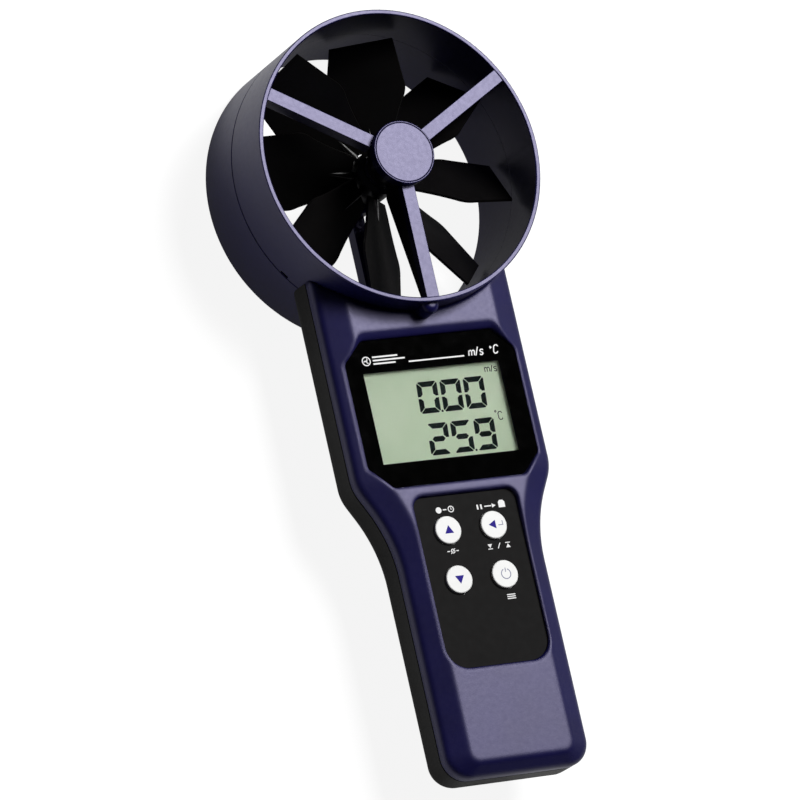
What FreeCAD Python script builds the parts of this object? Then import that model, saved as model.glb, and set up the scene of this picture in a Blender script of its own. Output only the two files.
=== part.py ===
import FreeCAD, Part
import math
import os
import re

import Sketcher

# A hand-held vane anemometer lying on its back: +Z is the face of the instrument, +Y runs up the
# handle towards the vane head, X goes across. The origin is under the middle of the instrument, in
# the plane of the vane ring's rear rim. Millimetres and degrees.

DIMENSIONS = {
    # Vane head: a ring of two halves that lap, its axis along Z through (0, head_y)
    "head_y": 81.6,
    "ring_radius": 53.0,
    "ring_wall": 1.7,
    "ring_depth": 47.0,
    "rim_round": 0.35,
    "seam_z": 23.0,
    "seam_chamfer": 0.4,
    "lap_height": 4.0,
    "lap_gap": 0.1,
    "latch_width": 3.2,
    "latch_height": 1.5,
    "latch_angle": -142.7,
    # Front guard: three spokes and a hub that holds the pulse pickup
    "spoke_width": 4.7,
    "spoke_depth": 5.0,
    "spoke_inset": 0.2,
    "arm_spoke_depth": 3.1,
    "hub_radius": 11.35,
    "hub_front": 49.8,
    "hub_low": 45.8,
    "hub_floor": 41.0,
    "hub_back": 36.0,
    "bush_radius": 3.0,
    "housing_radius": 10.9,
    "housing_waist": 9.4,
    "housing_foot": 4.6,
    "pickup_seat": 8.2,
    "cap_seat": 10.8,
    "cap_ledge": 1.2,
    "cap_height": 1.2,
    "cap_gap": 0.12,
    # Rear guard
    "rear_inset": 0.6,
    "rear_spoke_width": 5.0,
    "rear_spoke_depth": 5.0,
    "rear_hub_radius": 9.0,
    "rear_hub_top": 12.0,
    "rear_cap_seat": 7.5,
    # Neck that ties the ring to the case
    "neck_width": 28.0,
    "neck_low": 16.4,
    "neck_high": 22.4,
    "neck_end": 12.0,
    "neck_screw_x": 8.0,
    "neck_screw_y": 17.0,
    # Lead from the head to the case, and the boss that covers it
    "conduit_radius": 3.3,
    "conduit_top": 45.0,
    "conduit_round": 2.4,
    "lead_z": 43.1,
    "lead_y": 27.6,
    "lead_radius": 0.5,
    "lead_bend": 0.9,
    "lead_plug_z": 29.0,
    "channel_half": 0.7,
    # Sensor arm behind the lower spoke
    "arm_width": 4.0,
    "arm_rim_low": 42.0,
    "arm_hub_low": 33.1,
    "thermistor_radius": 1.0,
    "thermistor_y": 61.6,
    "thermistor_z": 33.8,
    "thermistor_length": 3.4,
    # Rotor
    "rotor_radius": 49.5,
    "rotor_z": 23.9,
    "rotor_hub_radius": 8.4,
    "rotor_hub_half": 7.0,
    "rotor_hub_round": 1.5,
    "blade_pitch": 41.0,
    "blade_angle": 37.2,
    "blade_thickness": 0.9,
    "blade_tip_half": 11.5,
    "blade_wide_at": 33.5,
    "blade_wide_half": 14.0,
    "blade_flare_at": 26.3,
    "blade_flare_half": 13.0,
    "blade_neck_at": 13.0,
    "blade_neck_half": 8.2,
    "blade_foot": 8.8,
    "blade_foot_half": 6.6,
    "stem_radius": 1.1,
    "stem_end": 5.0,
    "stem_collar": 9.0,
    "stem_collar_radius": 1.4,
    "stem_tip": 18.0,
    "axle_radius": 1.0,
    "axle_low": 5.5,
    "axle_high": 39.6,
    "running_gap": 0.05,
    "magnet_radius": 6.5,
    "magnet_bore": 2.5,
    "magnet_height": 2.0,
    # Case: blue front shell and black back shell
    "case_half": 37.8,
    "handle_half": 27.4,
    "case_end": -134.6,
    "case_top": 55.0,
    "shoulder_high": -30.1,
    "shoulder_low": -49.4,
    "shoulder_high_round": 15.0,
    "shoulder_low_round": 52.0,
    "end_round": 8.6,
    "face_z": 37.0,
    "bevel_z": 33.0,
    "parting_z": 29.2,
    "back_z": 12.7,
    "back_round": 8.4,
    "wall": 2.2,
    "groove_height": 0.6,
    "groove_depth": 0.8,
    "face_half": 28.0,
    "face_handle_half": 19.4,
    "face_end": -130.2,
    "face_shoulder_high": -29.4,
    "face_shoulder_low": -45.5,
    "face_shoulder_high_round": 6.0,
    "face_shoulder_low_round": 60.0,
    "face_end_round": 3.6,
    "face_round": 2.6,
    "edge_round": 2.8,
    "ring_gap": 0.1,
    # Display window
    "window_half": 32.9,
    "window_top": 20.3,
    "window_bottom": -32.4,
    "window_corner": 7.6,
    "window_round": 3.0,
    "window_slope": 2.6,
    "window_chamfer": 0.5,
    "window_slope_z": 35.6,
    "window_rim": 1.9,
    "window_rim_height": 2.2,
    "window_ledge": 2.0,
    "window_z": 34.8,
    "window_thickness": 1.2,
    "mask_thickness": 0.3,
    "ledge_z": 31.8,
    "fit_gap": 0.15,
    # Liquid-crystal display
    "view_half": 26.2,
    "view_top": 9.0,
    "view_bottom": -23.4,
    "glass_margin": 1.8,
    "frame_margin": 2.6,
    "glass_thickness": 2.1,
    "glass_z": 32.1,
    "frame_z": 32.7,
    "frame_view_margin": 1.5,
    "strip_width": 2.0,
    # Keypad
    "keypad_half": 19.8,
    "keypad_top": -36.7,
    "keypad_bottom": -97.4,
    "keypad_corner": 4.0,
    "keypad_end_corner": 8.0,
    "keypad_floor": 34.7,
    "keypad_under": 33.2,
    "panel_thickness": 0.8,
    "keypad_chamfer": 0.5,
    "keypad_rim": 1.7,
    "keypad_rim_height": 1.1,
    "button_radius": 4.9,
    "button_gap": 0.25,
    "button_x": 8.8,
    "button_high_y": -49.1,
    "button_low_y": -66.6,
    "button_top": 36.6,
    "button_flange": 6.0,
    "button_under": 32.0,
    "button_round": 0.4,
    # Circuit board and what is on it
    "board_low": 26.0,
    "board_high": 27.6,
    "board_half": 33.0,
    "board_handle_half": 18.0,
    "board_top": 26.0,
    "board_end": -73.0,
    "switch_size": 6.0,
    "switch_top": 31.0,
    "plunger_radius": 1.7,
    "plunger_top": 31.3,
    # Battery compartment
    "battery_width": 26.5,
    "battery_height": 17.5,
    "battery_low": 15.2,
    "battery_back": -128.2,
    "battery_front": -81.8,
    "terminal_height": 2.2,
    "terminal_x": 6.35,
    "clip_thickness": 2.8,
    "clip_height": 12.6,
    "small_stud": 3.0,
    "large_stud": 4.0,
    "battery_lead_x": 2.5,
    "battery_lead_z": 21.5,
    "battery_lead_bend": 2.2,
    "battery_lead_radius": 0.6,
    "lead_notch_half": 4.5,
    "lead_notch_low": 19.0,
    "lead_notch_high": 24.0,
    "door_half": 16.0,
    "door_top": -80.0,
    "door_thickness": 2.15,
    "grip_length": 18.0,
    "grip_width": 0.9,
    "grip_depth": 0.5,
    "grip_pitch": 2.0,
    "partition_y": -75.4,
    "partition_thickness": 1.2,
    "partition_half": 21.9,
    # Screws
    "case_screw_x": 27.5,
    "case_screw_y": 31.4,
    "handle_screw_x": 18.5,
    "handle_screw_y": -76.9,
    "boss_radius": 3.0,
    "boss_foot": 14.3,
    "boss_top": 34.0,
    "screw_seat": 7.3,
    "neck_screw_seat": 1.9,
    "screw_radius": 1.25,
    "screw_head_radius": 2.3,
    "screw_head_height": 1.6,
    "case_screw_length": 11.5,
    "neck_screw_length": 7.0,
    "board_screw_radius": 1.0,
    "board_head_radius": 1.9,
    "board_head_height": 1.3,
    "board_screw_length": 4.6,
    "board_post_radius": 2.2,
    "thread_gap": 0.02,
    "board_screw_x": 30.0,
    "board_screw_y": 20.2,
    "board_low_screw_x": 14.5,
    "board_low_screw_y": -57.9,
}

BLADES = 8

doc = FreeCAD.newDocument("vane_anemometer")
sheet = doc.addObject("Spreadsheet::Sheet", "dims")
nodes = []


# ---------------------------------------------------------------- sizes and expressions

def fill_sheet():
    """Give every driving dimension a row of its own, with its name as the cell's alias."""
    for row, (alias, value) in enumerate(DIMENSIONS.items(), start=1):
        sheet.set(f"A{row}", alias)
        sheet.set(f"B{row}", str(value))
        sheet.setAlias(f"B{row}", alias)
    doc.recompute()


def formula(text):
    """Turn the dimension names in a size into references to the sheet's cells."""
    def reference(word):
        return "dims." + word.group() if word.group() in DIMENSIONS else word.group()
    return re.sub(r"[a-z_]+", reference, str(text))


def size(text):
    """The value of a size that is written with dimension names."""
    value = sheet.evalExpression(formula(text))
    return float(getattr(value, "Value", value))


def bind(thing, **sizes):
    """Bind an object's properties to sizes; x, y and z are its position."""
    for name, text in sizes.items():
        path = f"Placement.Base.{name}" if name in ("x", "y", "z") else name
        thing.setExpression(path, formula(text))
    return thing


def node(thing, label):
    """Name a finished sub-part."""
    thing.Label = label
    nodes.append(thing)
    return thing


# ---------------------------------------------------------------- sketches

def new_body(name):
    return doc.addObject("PartDesign::Body", name)


def sketch_on(body, name, plane="XY_Plane", offset="0"):
    """A sketch on one of the body's own origin planes, moved along that plane's normal."""
    support = [item for item in body.Origin.OriginFeatures if item.Role == plane][0]
    sketch = body.newObject("Sketcher::SketchObject", name)
    sketch.AttachmentSupport = [(support, "")]
    sketch.MapMode = "FlatFace"
    sketch.setExpression("AttachmentOffset.Base.z", formula(offset))
    return sketch


def pin_point(sketch, geometry, point, place):
    """Hold a point of a sketch at a place that is bound to the sheet."""
    for kind, text in zip(("DistanceX", "DistanceY"), place):
        constraint = Sketcher.Constraint(kind, -1, 1, geometry, point, size(text))
        index = sketch.addConstraint(constraint)
        sketch.setExpression(f"Constraints[{index}]", formula(text))


def polygon(sketch, corners):
    """A closed outline of straight lines through corners that are bound to the sheet."""
    places = [FreeCAD.Vector(size(x), size(y), 0) for x, y in corners]
    first = sketch.GeometryCount
    count = len(places)
    for index, place in enumerate(places):
        sketch.addGeometry(Part.LineSegment(place, places[(index + 1) % count]))
    for index in range(count):
        following = first + (index + 1) % count
        sketch.addConstraint(Sketcher.Constraint("Coincident", first + index, 2, following, 1))
    for index, corner in enumerate(corners):
        pin_point(sketch, first + index, 1, corner)
    return sketch


def rectangle(sketch, left, low, right, high):
    return polygon(sketch, [(left, low), (right, low), (right, high), (left, high)])


def circle(sketch, radius, x="0", y="0"):
    centre = FreeCAD.Vector(size(x), size(y), 0)
    normal = FreeCAD.Vector(0, 0, 1)
    index = sketch.addGeometry(Part.Circle(centre, normal, size(radius)))
    pin_point(sketch, index, 3, (x, y))
    constraint = sketch.addConstraint(Sketcher.Constraint("Radius", index, size(radius)))
    sketch.setExpression(f"Constraints[{constraint}]", formula(radius))
    return sketch


def rounded_outline(sketch, corners):
    """A closed outline whose corners, each (x, y, radius), are rounded by tangent arcs."""
    places = [FreeCAD.Vector(size(x), size(y), 0) for x, y, _ in corners]
    count = len(places)
    starts, ends = [], []
    for index, (_, _, radius) in enumerate(corners):
        corner = places[index]
        back = (places[index - 1] - corner).normalize()
        ahead = (places[(index + 1) % count] - corner).normalize()
        turn = math.pi - back.getAngle(ahead)
        reach = size(radius) * math.tan(turn / 2)
        starts.append(corner + back * reach)
        ends.append(corner + ahead * reach)
        if reach > 0:
            half_angle = back.getAngle(ahead) / 2
            bisector = (back + ahead).normalize()
            middle = corner + bisector * (size(radius) / math.sin(half_angle) - size(radius))
            sketch.addGeometry(Part.Arc(starts[index], middle, ends[index]))
    for index in range(count):
        sketch.addGeometry(Part.LineSegment(ends[index], starts[(index + 1) % count]))
    return sketch


def mirrored(right_side):
    """Both sides of an outline that is given from its top right corner down to its end."""
    left_side = [(f"-({x})", y, radius) for x, y, radius in reversed(right_side)]
    return right_side + left_side


def case_outline(inset="0"):
    """The case seen from the front, drawn in by an inset."""
    return mirrored([
        (f"case_half - {inset}", "case_top", "0"),
        (f"case_half - {inset}", f"shoulder_high + 0.25 * ({inset})",
         f"shoulder_high_round - ({inset})"),
        (f"handle_half - {inset}", f"shoulder_low + 0.25 * ({inset})",
         f"shoulder_low_round + ({inset})"),
        (f"handle_half - {inset}", f"case_end + ({inset})", f"max(end_round - ({inset}); 1.5)"),
    ])


def face_outline(inset="0"):
    """The flat front face inside the bevelled flanks."""
    return mirrored([
        (f"face_half - {inset}", "case_top", "0"),
        (f"face_half - {inset}", f"face_shoulder_high + 0.25 * ({inset})",
         f"face_shoulder_high_round - ({inset})"),
        (f"face_handle_half - {inset}", f"face_shoulder_low + 0.25 * ({inset})",
         f"face_shoulder_low_round + ({inset})"),
        (f"face_handle_half - {inset}", f"face_end + ({inset})", "face_end_round"),
    ])


def window_outline(sketch, inset="0", raised="0"):
    """The window: a rectangle whose corners are cut off and rounded, with a top that can be raised."""
    half = f"(window_half - ({inset}))"
    top = f"(window_top - ({inset}) + {raised})"
    bottom = f"(window_bottom + ({inset}))"
    slant = f"(window_corner - 0.6 * ({inset}))"
    return rounded_outline(sketch, mirrored([
        (f"{half} - {slant}", top, "window_round"),
        (half, f"window_top - ({inset}) - {slant}", "window_round"),
        (half, f"{bottom} + {slant}", "window_round"),
        (f"{half} - {slant}", bottom, "window_round"),
    ]))


def keypad_outline(sketch, inset="0"):
    """The keypad recess, with rounder corners at its handle end."""
    return rounded_outline(sketch, mirrored([
        (f"keypad_half - ({inset})", f"keypad_top - ({inset})", f"keypad_corner - ({inset})"),
        (f"keypad_half - ({inset})", f"keypad_bottom + ({inset})", f"keypad_end_corner - ({inset})"),
    ]))


# ---------------------------------------------------------------- features

def pad(body, sketch, length, reverse=False, both_ways=False):
    feature = body.newObject("PartDesign::Pad", "Pad_" + sketch.Name)
    feature.Profile = sketch
    feature.setExpression("Length", formula(length))
    feature.Reversed = reverse
    feature.Midplane = both_ways
    sketch.Visibility = False
    return feature


def pocket(body, sketch, length, reverse=False):
    """Cut along the sketch's normal backwards, or forwards when reversed."""
    doc.recompute()
    before = body.Shape.Volume
    feature = body.newObject("PartDesign::Pocket", "Pocket_" + sketch.Name)
    feature.Profile = sketch
    feature.setExpression("Length", formula(length))
    feature.Reversed = reverse
    doc.recompute()
    if body.Shape.Volume > before - 1e-6:
        raise RuntimeError(f"{feature.Name} removes nothing")
    return feature


def revolve(body, sketch, axis="V_Axis"):
    """Turn a profile about one of its sketch's own axes."""
    feature = body.newObject("PartDesign::Revolution", "Turn_" + sketch.Name)
    feature.Profile = sketch
    feature.ReferenceAxis = (sketch, [axis])
    feature.Angle = 360
    return feature


def turned(name, profile):
    """A body made by turning one profile of (radius, height) corners."""
    body = new_body(name)
    revolve(body, polygon(sketch_on(body, name + "_profile", "XZ_Plane"), profile))
    return body


def loft(body, first, second, kind="PartDesign::AdditiveLoft"):
    feature = body.newObject(kind, "Loft_" + first.Name)
    feature.Profile = first
    feature.Sections = [second]
    feature.Ruled = True
    return feature


def around(body, feature, count):
    """Repeat a feature evenly about the body's Z axis."""
    axis = [item for item in body.Origin.OriginFeatures if item.Role == "Z_Axis"][0]
    pattern = body.newObject("PartDesign::PolarPattern", "Around_" + feature.Name)
    pattern.Originals = [feature]
    pattern.Axis = (axis, [""])
    pattern.Angle = 360
    pattern.Occurrences = count
    body.Tip = pattern
    return pattern


def fillet(body, radius, wanted):
    """Round the edges of the body's shape for which wanted(edge) is true."""
    doc.recompute()
    base = body.Tip
    names = [f"Edge{i}" for i, edge in enumerate(base.Shape.Edges, start=1) if wanted(edge)]
    feature = body.newObject("PartDesign::Fillet", "Round_" + base.Name)
    feature.Base = (base, names)
    feature.setExpression("Radius", formula(radius))
    doc.recompute()
    return feature


def level_edges(height):
    """Picks the edges that lie flat at one height."""
    level = size(height)

    def wanted(edge):
        box = edge.BoundBox
        return abs(box.ZMin - level) < 1e-4 and abs(box.ZMax - level) < 1e-4
    return wanted


def block(name, width, length, height, x="0", y="0", z="0"):
    """A box centred on x and y that stands on z."""
    return bind(doc.addObject("Part::Box", name), Length=width, Width=length, Height=height,
                x=f"({x}) - ({width}) / 2", y=f"({y}) - ({length}) / 2", z=z)


def span_block(name, half_width, low_y, high_y, low_z, high_z):
    """A box centred on x = 0, given by its limits in y and z."""
    return block(name, f"2 * ({half_width})", f"({high_y}) - ({low_y})", f"({high_z}) - ({low_z})",
                 "0", f"(({low_y}) + ({high_y})) / 2", low_z)


def cylinder(name, radius, height, x="0", y="0", z="0"):
    return bind(doc.addObject("Part::Cylinder", name), Radius=radius, Height=height, x=x, y=y, z=z)


def cut(name, base, *tools):
    """One solid less the others."""
    remaining = base
    for index, tool in enumerate(tools, start=1):
        difference = doc.addObject("Part::Cut", f"{name}_{index}")
        difference.Base = remaining
        difference.Tool = tool
        remaining = difference
    return remaining


def fuse(name, *shapes):
    union = doc.addObject("Part::MultiFuse", name)
    union.Shapes = list(shapes)
    return union


def group(name, shapes):
    """Several separate solids as one object."""
    feature = doc.addObject("Part::Feature", name)
    feature.Shape = Part.makeCompound(shapes)
    return feature


# ---------------------------------------------------------------- vane head

def at_head(thing):
    """Put a thing that is drawn about its own axis onto the rotor's axis."""
    return bind(thing, y="head_y")


def front_ring():
    """Front half of the ring, with its guard of three spokes and the round hub that joins them."""
    body = new_body("ring_front_body")
    wall = sketch_on(body, "front_wall", "XZ_Plane")
    revolve(body, polygon(wall, [
        ("ring_radius - ring_wall", "seam_z + lap_height"),
        ("ring_radius - ring_wall / 2", "seam_z + lap_height"),
        ("ring_radius - ring_wall / 2", "seam_z"),
        ("ring_radius - seam_chamfer", "seam_z"),
        ("ring_radius", "seam_z + seam_chamfer"),
        ("ring_radius", "ring_depth"),
        ("ring_radius - ring_wall", "ring_depth"),
    ]))
    fillet(body, "rim_round", level_edges("ring_depth"))
    conduit = circle(sketch_on(body, "conduit", offset="face_z"), "conduit_radius",
                     y="0.1 - ring_radius")
    pad(body, conduit, "conduit_top - face_z")
    bore = circle(sketch_on(body, "bore", offset="ring_depth"), "ring_radius - ring_wall")
    pocket(body, bore, "ring_depth - face_z + 2")
    at_top = level_edges("conduit_top")
    outside = -size("ring_radius + 1")
    fillet(body, "conduit_round", lambda edge: at_top(edge) and edge.BoundBox.YMin < outside)
    hub = sketch_on(body, "front_hub", "XZ_Plane")
    revolve(body, polygon(hub, [
        ("cap_seat - cap_ledge", "hub_low"),
        ("hub_radius - 0.4", "hub_low"),
        ("hub_radius", "hub_low + 0.4"),
        ("hub_radius", "hub_front - 0.2"),
        ("hub_radius - 0.2", "hub_front"),
        ("cap_seat", "hub_front"),
        ("cap_seat", "hub_front - cap_height"),
        ("cap_seat - cap_ledge", "hub_front - cap_height"),
    ]))
    spoke = sketch_on(body, "front_spoke", offset="ring_depth - spoke_inset")
    rectangle(spoke, "-spoke_width / 2", "ring_wall / 2 - ring_radius",
              "spoke_width / 2", "-housing_radius - 0.05")
    around(body, pad(body, spoke, "spoke_depth", reverse=True), 3)
    seat = sketch_on(body, "arm_seat", offset="ring_depth - spoke_inset - spoke_depth")
    rectangle(seat, "-spoke_width", "ring_wall - ring_radius + 0.1", "spoke_width",
              "1 - hub_radius")
    pocket(body, seat, "spoke_depth - arm_spoke_depth", reverse=True)
    return at_head(body)


def latch_notches():
    """Three notches on the seam where the two halves of the ring snap together."""
    notches = []
    for index in range(3):
        notch = doc.addObject("Part::Box", f"latch_notch_{index + 1}")
        bind(notch, Length="ring_wall", Width="latch_width", Height="latch_height")
        angle = size("latch_angle") + 120 * index
        turn = FreeCAD.Rotation(FreeCAD.Vector(0, 0, 1), angle)
        corner = FreeCAD.Vector(size("ring_radius - ring_wall / 2"), -size("latch_width") / 2, 0)
        shift = FreeCAD.Vector(0, size("head_y"), size("seam_z"))
        notch.Placement = FreeCAD.Placement(turn.multVec(corner) + shift, turn)
        notches.append(notch)
    return fuse("latch_notches", *notches)


def lead_channel():
    """The way that the lead takes out of the hub, through the ring's wall and into the case."""
    tunnel = cylinder("lead_tunnel", "channel_half", "head_y - lead_y", y="lead_y", z="lead_z")
    tunnel.Placement.Rotation = FreeCAD.Rotation(FreeCAD.Vector(1, 0, 0), -90)
    well = span_block("lead_well", "channel_half", "lead_y - channel_half",
                      "lead_y + channel_half", "face_z - 6", "lead_z + channel_half")
    return tunnel, well


def build_front_ring():
    tunnel, well = lead_channel()
    half_tunnel = doc.addObject("Part::Common", "lead_tunnel_half")
    half_tunnel.Base = tunnel
    half_tunnel.Tool = span_block("lead_half", "2", "lead_y", "head_y - 8", "lead_z - 2", "lead_z + 2")
    node(cut("front_ring_cut", front_ring(), latch_notches(), half_tunnel, well), "ring_front")


def build_rear_ring():
    """Rear half of the ring, its guard, and the neck that is screwed into the case."""
    body = new_body("ring_rear")
    wall = sketch_on(body, "rear_wall", "XZ_Plane")
    revolve(body, polygon(wall, [
        ("ring_radius - ring_wall", "0"),
        ("ring_radius", "0"),
        ("ring_radius", "seam_z - seam_chamfer"),
        ("ring_radius - seam_chamfer", "seam_z"),
        ("ring_radius - ring_wall / 2 - lap_gap", "seam_z"),
        ("ring_radius - ring_wall / 2 - lap_gap", "seam_z + lap_height - lap_gap"),
        ("ring_radius - ring_wall", "seam_z + lap_height - lap_gap"),
    ]))
    fillet(body, "rim_round", level_edges("0"))
    hub = sketch_on(body, "rear_hub", "XZ_Plane")
    revolve(body, polygon(hub, [
        ("bush_radius", "rear_inset + cap_height"),
        ("rear_cap_seat", "rear_inset + cap_height"),
        ("rear_cap_seat", "rear_inset"),
        ("rear_hub_radius", "rear_inset"),
        ("rear_hub_radius", "rear_hub_top - 1"),
        ("rear_hub_radius - 1", "rear_hub_top"),
        ("bush_radius", "rear_hub_top"),
    ]))
    spoke = sketch_on(body, "rear_spoke", offset="rear_inset")
    rectangle(spoke, "-rear_spoke_width / 2", "ring_wall / 2 - ring_radius",
              "rear_spoke_width / 2", "0.4 - rear_hub_radius")
    around(body, pad(body, spoke, "rear_spoke_depth"), 3)
    neck = sketch_on(body, "neck", offset="neck_low")
    rectangle(neck, "-neck_width / 2", "neck_end - head_y", "neck_width / 2", "1.4 - ring_radius")
    pad(body, neck, "neck_high - neck_low")
    for side, name in ((-1, "left"), (1, "right")):
        hole = circle(sketch_on(body, f"neck_hole_{name}", offset="neck_high"),
                      "screw_radius + running_gap", x=f"{side} * neck_screw_x",
                      y="neck_screw_y - head_y")
        pocket(body, hole, "neck_high - neck_low")
    node(at_head(body), "ring_rear")


def build_hub_caps():
    front = turned("front_hub_cap", [
        ("0", "hub_front - cap_height"),
        ("cap_seat - cap_gap", "hub_front - cap_height"),
        ("cap_seat - cap_gap", "hub_front - 0.2"),
        ("cap_seat - cap_gap - 0.2", "hub_front"),
        ("0", "hub_front"),
    ])
    rear = turned("rear_hub_cap", [
        ("0", "rear_inset"),
        ("rear_cap_seat - cap_gap", "rear_inset"),
        ("rear_cap_seat - cap_gap", "rear_inset + cap_height"),
        ("0", "rear_inset + cap_height"),
    ])
    node(at_head(front), "front_hub_cap")
    node(at_head(rear), "rear_hub_cap")


def build_bearings():
    """Brass bushes that stop the axle's ends and let it run."""
    front = turned("front_bearing", [
        ("0", "hub_floor"),
        ("bush_radius", "hub_floor"),
        ("bush_radius", "hub_back"),
        ("bush_radius - 0.6", "hub_back - 1"),
        ("axle_radius + running_gap", "hub_back - 1"),
        ("axle_radius + running_gap", "axle_high + 0.2"),
        ("0", "axle_high + 0.2"),
    ])
    rear = turned("rear_bearing", [
        ("0", "rear_inset + cap_height"),
        ("bush_radius", "rear_inset + cap_height"),
        ("bush_radius", "rear_hub_top"),
        ("bush_radius - 0.6", "rear_hub_top + 1"),
        ("axle_radius + running_gap", "rear_hub_top + 1"),
        ("axle_radius + running_gap", "axle_low - 0.2"),
        ("0", "axle_low - 0.2"),
    ])
    node(at_head(front), "front_bearing")
    node(at_head(rear), "rear_bearing")


def housing_hollow():
    """The room inside the pickup's housing: a seat for its board, and a bore for the bearing."""
    return at_head(turned("housing_hollow", [
        ("0", "arm_hub_low"),
        ("bush_radius", "arm_hub_low"),
        ("bush_radius", "hub_floor"),
        ("pickup_seat", "hub_floor"),
        ("pickup_seat", "lead_z + 0.3"),
        ("cap_seat - cap_ledge", "hub_low - 1"),
        ("cap_seat - cap_ledge", "hub_low + 1"),
        ("0", "hub_low + 1"),
    ]))


def build_sensor_arm():
    """Black arm behind the lower spoke, in one piece with the pickup's housing behind the hub."""
    body = new_body("sensor_arm_body")
    housing = sketch_on(body, "housing", "XZ_Plane")
    revolve(body, polygon(housing, [
        ("0", "hub_back"),
        ("housing_foot", "hub_back"),
        ("housing_waist", "hub_floor - 0.4"),
        ("housing_radius", "hub_floor + 2"),
        ("housing_radius", "hub_low"),
        ("0", "hub_low"),
    ]))
    side = sketch_on(body, "arm_side", "YZ_Plane")
    top = "ring_depth - spoke_inset - arm_spoke_depth"
    polygon(side, [
        ("-bush_radius - 1", top),
        ("ring_wall - ring_radius + 0.15", top),
        ("ring_wall - ring_radius + 0.15", "arm_rim_low"),
        ("-hub_radius - 0.1", "arm_hub_low"),
        ("-bush_radius - 1", "hub_back"),
    ])
    pad(body, side, "arm_width", both_ways=True)
    at_head(body)
    slot = span_block("arm_slot", "channel_half - 0.1", "lead_y", "head_y", "lead_z - 0.6", "hub_low + 1")
    socket = cylinder("thermistor_socket", "thermistor_radius + running_gap",
                      "thermistor_z + thermistor_length - arm_hub_low + 0.1",
                      y="thermistor_y", z="arm_hub_low")
    node(cut("sensor_arm_cut", body, housing_hollow(), slot, socket), "sensor_arm")


def build_sensors():
    """Temperature bead in the arm, pulse pickup board and its sensor in the housing."""
    bead = cylinder("thermistor_stem", "thermistor_radius", "thermistor_length",
                    y="thermistor_y", z="thermistor_z")
    tip = bind(doc.addObject("Part::Sphere", "thermistor_tip"), Radius="thermistor_radius",
               y="thermistor_y", z="thermistor_z")
    node(fuse("thermistor_bead", bead, tip), "thermistor")
    disc = turned("pickup_board", [
        ("bush_radius + 0.3", "hub_floor + 0.2"),
        ("pickup_seat - 0.3", "hub_floor + 0.2"),
        ("pickup_seat - 0.3", "lead_z - lead_radius - 0.05"),
        ("bush_radius + 0.3", "lead_z - lead_radius - 0.05"),
    ])
    node(at_head(disc), "pickup_board")
    chip = block("pickup_chip", "4", "3", "1.5", "0", "head_y + 5.5", "lead_z - lead_radius - 0.05")
    node(chip, "pickup_sensor")


# ---------------------------------------------------------------- rotor

def build_rotor_hub():
    body = turned("rotor_hub", [
        ("axle_radius + thread_gap", "-rotor_hub_half"),
        ("rotor_hub_radius - rotor_hub_round", "-rotor_hub_half"),
        ("rotor_hub_radius", "rotor_hub_round - rotor_hub_half"),
        ("rotor_hub_radius", "rotor_hub_half - rotor_hub_round"),
        ("rotor_hub_radius - rotor_hub_round", "rotor_hub_half"),
        ("axle_radius + thread_gap", "rotor_hub_half"),
    ])
    socket = sketch_on(body, "blade_socket", "YZ_Plane", "rotor_hub_radius + 1")
    circle(socket, "stem_radius + running_gap")
    around(body, pocket(body, socket, "rotor_hub_radius + 1 - stem_end + 0.2"), BLADES)
    bind(body, y="head_y", z="rotor_z")
    body.Placement.Rotation = FreeCAD.Rotation(FreeCAD.Vector(0, 0, 1), size("blade_angle"))
    node(body, "rotor_hub")


def blade_outline(sketch):
    """Flat paddle: a narrow foot that flares to a rounded shoulder, then narrows to the tip."""
    tip_half = size("blade_tip_half * cos(blade_pitch * 1 deg)")
    tip_reach = math.sqrt(size("rotor_radius") ** 2 - tip_half ** 2)
    foot = FreeCAD.Vector(size("blade_foot"), size("blade_foot_half"), 0)
    neck = FreeCAD.Vector(size("blade_neck_at"), size("blade_neck_half"), 0)
    flare = FreeCAD.Vector(size("blade_flare_at"), size("blade_flare_half"), 0)
    wide = FreeCAD.Vector(size("blade_wide_at"), size("blade_wide_half"), 0)
    tip = FreeCAD.Vector(tip_reach, size("blade_tip_half"), 0)
    waist = (neck + flare) * 0.5 + FreeCAD.Vector(0.25, -0.25, 0)
    crown = (flare + wide) * 0.5 + FreeCAD.Vector(-0.4, 0.75, 0)

    def flip(place):
        return FreeCAD.Vector(place.x, -place.y, 0)

    sketch.addGeometry(Part.LineSegment(foot, neck))
    sketch.addGeometry(Part.Arc(neck, waist, flare))
    sketch.addGeometry(Part.Arc(flare, crown, wide))
    sketch.addGeometry(Part.LineSegment(wide, tip))
    sketch.addGeometry(Part.LineSegment(tip, flip(tip)))
    sketch.addGeometry(Part.LineSegment(flip(tip), flip(wide)))
    sketch.addGeometry(Part.Arc(flip(wide), flip(crown), flip(flare)))
    sketch.addGeometry(Part.Arc(flip(flare), flip(waist), flip(neck)))
    sketch.addGeometry(Part.LineSegment(flip(neck), flip(foot)))
    sketch.addGeometry(Part.LineSegment(flip(foot), foot))


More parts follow.
